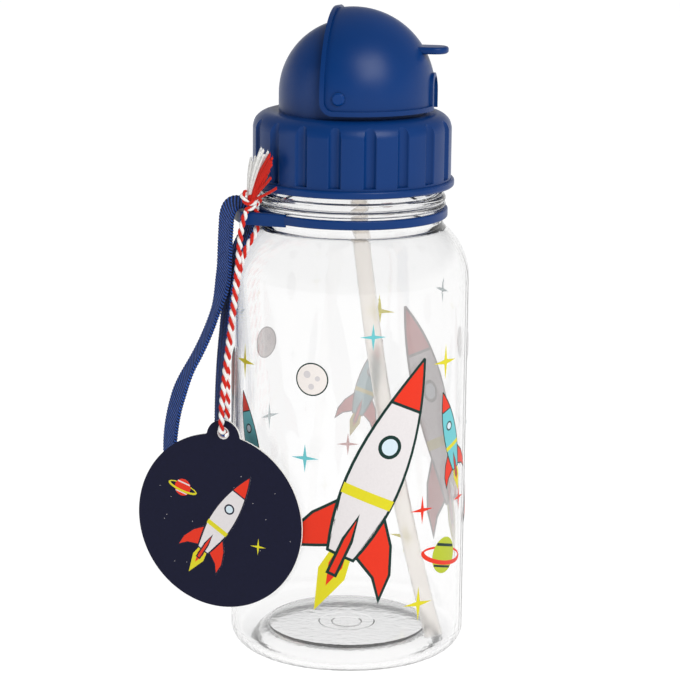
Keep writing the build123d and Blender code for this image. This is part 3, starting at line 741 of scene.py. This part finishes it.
def make_strap():
    line = resampled(nurbs_line("strap_route", strap_route()), mm(0.155))
    along = lengths_along(line)
    lean = math.radians(STRAP_LEAN_DEG)
    side = sideways(LUG_SIDE_DEG) * math.cos(lean) - Vector((0, 0, math.sin(lean)))
    section, rings = strap_section(), []
    for (point, tangent, _, _), at in zip(moving_frames(line, side), along):
        wide = (side - tangent * side.dot(tangent)).normalized()
        twist = Matrix.Rotation(math.radians(between(STRAP_TWIST, at / along[-1])), 3, tangent)
        wide = twist @ wide
        thick = tangent.cross(wide)
        ring = []
        for across, deep in section:
            rib = math.sin(2 * math.pi * (1000 * at / WEAVE_MM + 0.55 * across))
            frayed = across + 0.05 * rib * (abs(across) > 4.2)
            ring.append(point + wide * mm(frayed) + thick * mm(deep * (1 + 0.2 * rib)))
        rings.append(ring)
    mesh = Mesh()
    mesh.tube(rings, [1000 * x for x in along])
    strap = mesh.piece("carry_strap_webbing", [STRAP_LOOK])
    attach(strap, "strap")
    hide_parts("carry_strap")
    return strap, line


def make_stitches(line):
    """Bar tacks through the two layers at the sewn end, and one loose thread."""
    thread = yarn("strap_thread", display(30, 48, 110))
    out = radial(LUG_SIDE_DEG)
    mesh = Mesh()
    for height in (57.5, 59.0, 60.5, 62.0):
        for k in range(7):
            across = -3.6 + 1.2 * k
            for distance in (38.2, 40.72):
                middle = strap_place(distance + (height - 57) * 0.045, height)
                rise = mm(0.55) if k % 2 else mm(-0.55)
                a = middle + sideways(LUG_SIDE_DEG) * mm(across - 0.55) - Vector((0, 0, rise))
                b = middle + sideways(LUG_SIDE_DEG) * mm(across + 0.55) + Vector((0, 0, rise))
                add_round(mesh, resampled([a, b], mm(0.2)), 0.16, 6, 0)
    start = strap_place(39.6, 124.5) + sideways(LUG_SIDE_DEG) * mm(2.0)
    route = [start, start + out * mm(1.2) - mm(0, 0, 0.8), start + out * mm(2.4) - mm(0, 0, 2.8)]
    add_round(mesh, resampled(nurbs_line("thread_route", route), mm(0.25)), 0.11, 6, 0, 0.4)
    piece = mesh.piece("strap_stitches", [thread])
    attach(piece, "strap")


# --- printed art ---------------------------------------------------------------------------------
class Art:
    """Flat shapes in millimetres, laid on a surface as thin closed slabs of ink.

    Each shape has an ink and a level. Higher levels are thicker both ways, so a line drawn over
    a fill shows from the front and, through a clear wall, from behind.
    """

    def __init__(self, rim="green"):
        self.shapes = []
        self.rim = rim

    def fill(self, colour, points, level=0):
        self.shapes.append((colour, level, [[Vector(p) for p in points]]))

    def line(self, colour, points, width, closed=False, level=1):
        """A band of that width along points, mitred at its corners."""
        points = [Vector(p) for p in points]
        count = len(points)
        sides = []
        for i, point in enumerate(points):
            before = points[i - 1] if closed or i else None
            after = points[(i + 1) % count] if closed or i < count - 1 else None
            ways = []
            if before is not None:
                ways.append((point - before).normalized())
            if after is not None:
                ways.append((after - point).normalized())
            normals = [Vector((-way.y, way.x)) for way in ways]
            mitre = sum(normals, Vector((0, 0))).normalized()
            reach = width / 2 / max(0.4, mitre.dot(normals[0]))
            sides.append((point + mitre * reach, point - mitre * reach))
        quads = []
        for i in range(count if closed else count - 1):
            (a, b), (c, d) = sides[i], sides[(i + 1) % count]
            quads.append([a, b, d, c])
        self.shapes.append((colour, level, quads))

    def outlined(self, colour, points, level=0, width=None):
        self.fill(colour, points, level)
        self.line(self.rim, points, width or OUTLINE_W, closed=True, level=level + 1)

    def placed(self, other, x, y, angle_deg=0.0, scale=1.0):
        """Adds another drawing, turned anticlockwise about its own zero and moved to x, y."""
        turn = Matrix.Rotation(math.radians(angle_deg), 2)
        for colour, level, loops in other.shapes:
            moved = [[turn @ (p * scale) + Vector((x, y)) for p in loop] for loop in loops]
            self.shapes.append((colour, level, moved))

    def laid(self, name, surface, cut_step, body):
        """Makes the piece. surface(x, y, height) gives a place; cut_step splits wide shapes."""
        inks = sorted({shape[0] for shape in self.shapes})
        looks = [PRINT_INKS[key] for key in inks] + [PRINT_BACKS[key] for key in inks]
        points, faces, indices = [], [], []
        for colour, level, loops in self.shapes:
            low, high = ink_lift(level)
            front = inks.index(colour)
            for loop in loops:
                add_slab(points, faces, indices, loop, cut_step, surface, low, high,
                         front, front + len(inks))
        piece = mesh_piece(name, points, faces, looks, indices, smooth=False)
        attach(piece, body)
        return piece


def clipped(polygon, edge, keep_right):
    """The part of a convex polygon on one side of the line x = edge."""
    found = []
    for a, b in zip(polygon, polygon[1:] + polygon[:1]):
        a_in = a.x >= edge if keep_right else a.x <= edge
        b_in = b.x >= edge if keep_right else b.x <= edge
        if a_in:
            found.append(a)
        if a_in != b_in:
            found.append(a.lerp(b, (edge - a.x) / (b.x - a.x)))
    return found


def add_slab(points, faces, indices, loop, cut_step, surface, low, high, front, back):
    """A closed slab over one outline, cut into strips so that it follows a curved surface."""
    cells, edges, numbers = [], {}, {}
    for triangle in tessellate_polygon([[p.to_3d() for p in loop]]):
        corner = [loop[i] for i in triangle]
        area = (corner[1] - corner[0]).cross(corner[2] - corner[0])
        if abs(area) < 1e-9:
            continue
        if area < 0:
            corner.reverse()
        left = min(p.x for p in corner)
        right = max(p.x for p in corner)
        first = math.floor(left / cut_step)
        for k in range(first, math.ceil(right / cut_step)):
            piece = clipped(corner, k * cut_step, True)
            piece = clipped(piece, (k + 1) * cut_step, False) if len(piece) > 2 else piece
            cells.append(piece)
    base = len(points)
    for cell in cells:
        keys = []
        for p in cell:
            key = (round(p.x, 5), round(p.y, 5))
            if not keys or keys[-1] != key:
                keys.append(key)
        if len(keys) > 1 and keys[0] == keys[-1]:
            keys.pop()
        if len(keys) < 3:
            continue
        for key in keys:
            if key not in numbers:
                numbers[key] = base + 2 * len(numbers)
                points.append(surface(*key, high))
                points.append(surface(*key, low))
        ids = [numbers[key] for key in keys]
        faces.append(tuple(ids))
        indices.append(front)
        faces.append(tuple(i + 1 for i in reversed(ids)))
        indices.append(back)
        for a, b in zip(ids, ids[1:] + ids[:1]):
            if (b, a) in edges:
                edges.pop((b, a))
            else:
                edges[(a, b)] = True
    for a, b in edges:
        faces.append((a, a + 1, b + 1, b))
        indices.append(back)


PRINT_INKS = {key: ink(f"ink_{key}", colour) for key, colour in INKS.items()}
PRINT_BACKS = {key: ink(f"ink_{key}_back", backing_of(key, c), 0.6) for key, c in INKS.items()}
OUTLINE_W = 0.8


def arc_points(cx, cy, rx, ry, start_deg, end_deg, count):
    found = []
    for k in range(count):
        angle = math.radians(start_deg + (end_deg - start_deg) * k / (count - 1))
        found.append((cx + rx * math.cos(angle), cy + ry * math.sin(angle)))
    return found


def mirrored(points):
    """The same outline on the other side of the line x = 0."""
    return [(-x, y) for x, y in points]


ROCKET_L = 58.0
ROCKET_HALF = 7.6
WIDEST = 0.4           # this and the next five are shares of the hull's height
NOSE_FOOT = 0.76
NOSE_TOP = 0.995
WINDOW_UP = 0.56
STRIPE_LOW = 0.28
STRIPE_HIGH = 0.33
WINDOW_R = 3.3
PANE_R = 2.3


def hull_half(share):
    """Half the hull's width at a share of its height, as a share of the widest."""
    if share > WIDEST:
        return 1 - ((share - WIDEST) / (1 - WIDEST)) ** 2
    return 1 - 0.5 * ((WIDEST - share) / WIDEST) ** 2


def hull_part(low, high, count=14):
    """The stretch of the hull between two shares of its height, as an outline."""
    side = []
    for k in range(count + 1):
        share = low + (high - low) * k / count
        side.append((ROCKET_HALF * hull_half(share), ROCKET_L * share))
    return side + mirrored(side)[::-1]


def sized(points):
    """Points given in half hull widths across and hull lengths up, in millimetres."""
    return [(x * ROCKET_HALF, y * ROCKET_L) for x, y in points]


# Outlines in half hull widths across and hull lengths up.
SIDE_FIN = [(0.9, 0.24), (1.55, 0.13), (1.95, 0.0), (1.95, -0.13), (1.4, -0.04), (0.55, 0.02)]
MID_FIN = [(0.0, 0.2), (0.16, 0.08), (0.16, -0.1), (-0.16, -0.1), (-0.16, 0.08)]
FLAME = [(-0.4, 0.0), (0.4, 0.0), (0.52, -0.1), (0.0, -0.3), (-0.52, -0.1)]


def rocket(hull, trim, rim):
    """A plain cigar-shaped rocket that points up from zero, with fins, a window and a flame."""
    art = Art(rim)
    art.fill("yellow", sized(FLAME))
    art.fill("red", [(x * 0.5, y * 0.55) for x, y in sized(FLAME)], 1)
    art.outlined(trim, sized(SIDE_FIN))
    art.outlined(trim, mirrored(sized(SIDE_FIN)))
    art.outlined(hull, hull_part(0.0, NOSE_TOP), 1)
    art.fill("yellow", hull_part(STRIPE_LOW, STRIPE_HIGH), 3)
    art.outlined(trim, hull_part(NOSE_FOOT, NOSE_TOP), 3)
    window = (0, ROCKET_L * WINDOW_UP)
    art.fill(rim, arc_points(*window, WINDOW_R, WINDOW_R, 0, 345, 24), 3)
    art.fill("sky", arc_points(*window, PANE_R, PANE_R, 0, 345, 24), 4)
    art.outlined(trim, sized(MID_FIN), 3)
    return art


def sparkle(colour, reach):
    """A plain star with four points."""
    points = []
    for k in range(8):
        angle = math.pi / 2 + math.pi * k / 4
        out = reach * (0.18 if k % 2 else 1)
        points.append((out * math.cos(angle), out * math.sin(angle)))
    art = Art()
    art.fill(colour, points, 0)
    return art


def ringed_planet(ball, ring, stripe, radius):
    """A striped ball inside a tilted ring."""
    art = Art()
    wide, deep, band = radius * 1.75, radius * 0.42, radius * 0.24
    art.line(ring, arc_points(0, 0, wide, deep, 0, 350, 60), band * 0.5, closed=True, level=0)
    art.fill(ball, arc_points(0, 0, radius, radius, 0, 350, 36), 1)
    for up, thick in ((0.55, 0.16), (-0.62, 0.12)):
        half = 0.94 * radius * math.sqrt(1 - up * up)
        art.line(stripe, [(-half, up * radius), (half, up * radius)], thick * radius, level=2)
    art.line(ring, arc_points(0, 0, wide, deep, 172, 368, 50), band, level=3)
    return art


def moon():
    """A pale disc with three round craters."""
    art = Art()
    art.fill("pale", arc_points(0, 0, 4.6, 4.6, 0, 350, 36), 1)
    for x, y, size in ((-1.5, 1.4, 1.1), (1.7, 0.3, 0.8), (-0.2, -2.2, 0.9)):
        art.fill("grey", arc_points(x, y, size, size, 0, 340, 18), 2)
    art.line("green", arc_points(0, 0, 4.8, 4.8, 0, 350, 36), 0.4, closed=True, level=3)
    return art


# The design repeats three times round the barrel, slightly askew, with a gap at the seam.
CELL_PITCH = 70.5
CELLS = (
    ("print_left", -CELL_PITCH, -1.5),
    ("print_front", 0.0, 0.0),
    ("print_right", CELL_PITCH, 3.5),
)
INK_BED = 0.024        # the lowest ink lies this far over its surface
INK_T = 0.022
INK_STEP = 0.008       # each level reaches this much further, in and out
BARREL_CUT = 1.0       # widest strip of ink on the curved wall
TAG_CUT = 40.0


def ink_lift(level):
    """How far the underside and the top of an ink level lie over the surface."""
    return INK_BED - level * INK_STEP / 4, INK_BED + INK_T + level * INK_STEP


def barrel_place(x, y, height):
    """A place over the barrel: along its girth from the front, up, and off the wall."""
    angle = x / BARREL_R
    reach = BARREL_R + height
    return mm(reach * math.sin(angle), -reach * math.cos(angle), y)


STARS = (               # ink, reach, along, up
    ("sun", 5.4, 39.0, 94.0),
    ("teal", 4.4, -7.0, 67.0),
    ("red", 4.4, 30.0, 50.0),
    ("sun", 5.4, 29.0, 21.0),
    ("teal", 4.0, 13.0, 104.0),
    ("red", 3.8, 49.0, 50.0),
)


def print_cell():
    """One repeat of the barrel's print: two rockets, a planet, a moon and stars."""
    art = Art()
    art.placed(rocket("white", "red", "green"), 4.0, 38.0, -24.0, 1.1)
    art.placed(rocket("teal", "red", "green"), 46.0, 60.0, 18.0, 0.45)
    art.placed(ringed_planet("lime", "red", "green", 5.6), 40.0, 34.0, -15.0)
    art.placed(moon(), -5.0, 91.0)
    for colour, reach, x, y in STARS:
        art.placed(sparkle(colour, reach), x, y)
    return art


def make_prints():
    """The three repeats, each a piece of its own on the bottle."""
    for name, along, up in CELLS:
        art = Art()
        art.placed(print_cell(), along, up)
        art.laid(name, barrel_place, BARREL_CUT, "bottle")


def make_tag_print():
    """Rocket, planet, specks and a white ring round the hole, on the tag's front."""
    art = Art()
    art.placed(rocket("white", "red", "navy"), -5.0, -10.0, -30.0, 0.5)
    art.placed(ringed_planet("red", "yellow", "white", 2.6), -12.5, 8.5, -15.0)
    art.placed(sparkle("sun", 2.6), 13.0, -6.0)
    rng = random.Random(11)
    for _ in range(16):
        angle, reach = rng.uniform(0, 2 * math.pi), rng.uniform(8, 24)
        x, y = reach * math.cos(angle), reach * math.sin(angle)
        art.fill("grey", arc_points(x, y, 0.11, 0.11, 0, 300, 6), 0)
    art.line("white", arc_points(0, TAG_HOLE_UP, 1.7, 1.7, 0, 350, 30), 0.42, closed=True)
    return art.laid("tag_print", on_tag, TAG_CUT, "tag")


# --- spout ---------------------------------------------------------------------------------------
def make_spout(look):
    """One silicone moulding: plug, stem, a soft bend at the fold line, and the drinking tip."""
    closed = math.radians(-27.0)
    way = Vector((math.cos(closed), 0, math.sin(closed)))
    fold = mm(1.0, 0, 180.0)
    route = [
        mm(0, 0, 158.6), mm(0, 0, 166.0), mm(0, 0, 172.0), mm(-0.2, 0, 176.5), mm(0.3, 0, 180.4),
        mm(3.2, 0, 181.0), fold + way * mm(6.5), fold + way * mm(13.0), fold + way * mm(23.3),
    ]
    line = resampled(nurbs_line("spout_route", route), mm(0.35))
    along = [1000 * x for x in lengths_along(line)]
    total, sides = along[-1], 40
    outer_stops = [(0, 4.5), (3.2, 4.5), (5.0, 6.1), (6.9, 6.1), (7.1, 4.5), (8.5, 4.5), (8.8, 5.1),
                   (9.6, 5.1), (10.0, 4.45), (15.0, 4.3), (22.0, 3.7), (total - 9, 3.15),
                   (total - 5, 3.35), (total - 2.2, 3.4), (total - 0.7, 3.0), (total, 2.3)]
    inner_stops = [(0, 2.35), (12.0, 2.3), (18.0, 1.7), (total, 1.7)]
    frames = moving_frames(line, Vector((0, 1, 0)))

    def rings(stops):
        found = []
        for (point, _, side, up), at in zip(frames, along):
            reach = between(stops, at)
            ring = []
            for k in range(sides):
                angle = 2 * math.pi * k / sides
                ring.append(point + (side * math.cos(angle) + up * math.sin(angle)) * mm(reach))
            found.append(ring)
        return found

    outer, inner = rings(outer_stops), rings(inner_stops)
    mesh = Mesh()
    loop = outer + inner[::-1] + [outer[0]]
    mesh.tube(loop, along + along[::-1] + [0.0], closed_ends=False)
    piece = mesh.piece("spout_silicone", [look])
    weld(piece)
    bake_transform(piece)
    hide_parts("spout_base", "spout_tip")


def weld(piece):
    """Joins the seam where a loop of rings comes back to its first ring."""
    mesh = bmesh.new()
    mesh.from_mesh(piece.data)
    bmesh.ops.remove_doubles(mesh, verts=mesh.verts, dist=1e-7)
    bmesh.ops.recalc_face_normals(mesh, faces=mesh.faces)
    mesh.to_mesh(piece.data)
    mesh.free()


# --- putting it together -----------------------------------------------------------------------
def dress(node, material):
    data = NODES[node].data
    data.materials.clear()
    data.materials.append(material)


BLUE = display(4, 49, 107)
blue_plastic = moulded_plastic("blue_plastic", BLUE, 0.36, 0.035)
pin_plastic = moulded_plastic("pin_plastic", shade_of(BLUE, 1.15), 0.32, 0.01)
silicone = soft_silicone("spout_silicone", (0.88, 0.89, 0.90, 1), 0.25)

string, string_line = make_string()
knot = make_knot()
tassel = make_tassel()
strap, strap_line = make_strap()
make_stitches(strap_line)
make_prints()
tag_print = make_tag_print()
make_spout(silicone)

for node in ("screw_cap", "flip_cover", "neck_ring"):
    dress(node, blue_plastic)
for node in ("hinge_pin_left", "hinge_pin_right"):
    dress(node, pin_plastic)
for node in ("cap_seal", "vent_valve"):
    dress(node, soft_silicone(f"{node}_silicone", (0.84, 0.85, 0.86, 1), 0.0))
dress("straw", straw_plastic())
dress("straw_connector", straw_plastic())
dress("hang_tag", tag_card())
dress("bottle", clear_plastic())
NODES["bottle"].visible_shadow = False
NODES["bottle"].visible_diffuse = False
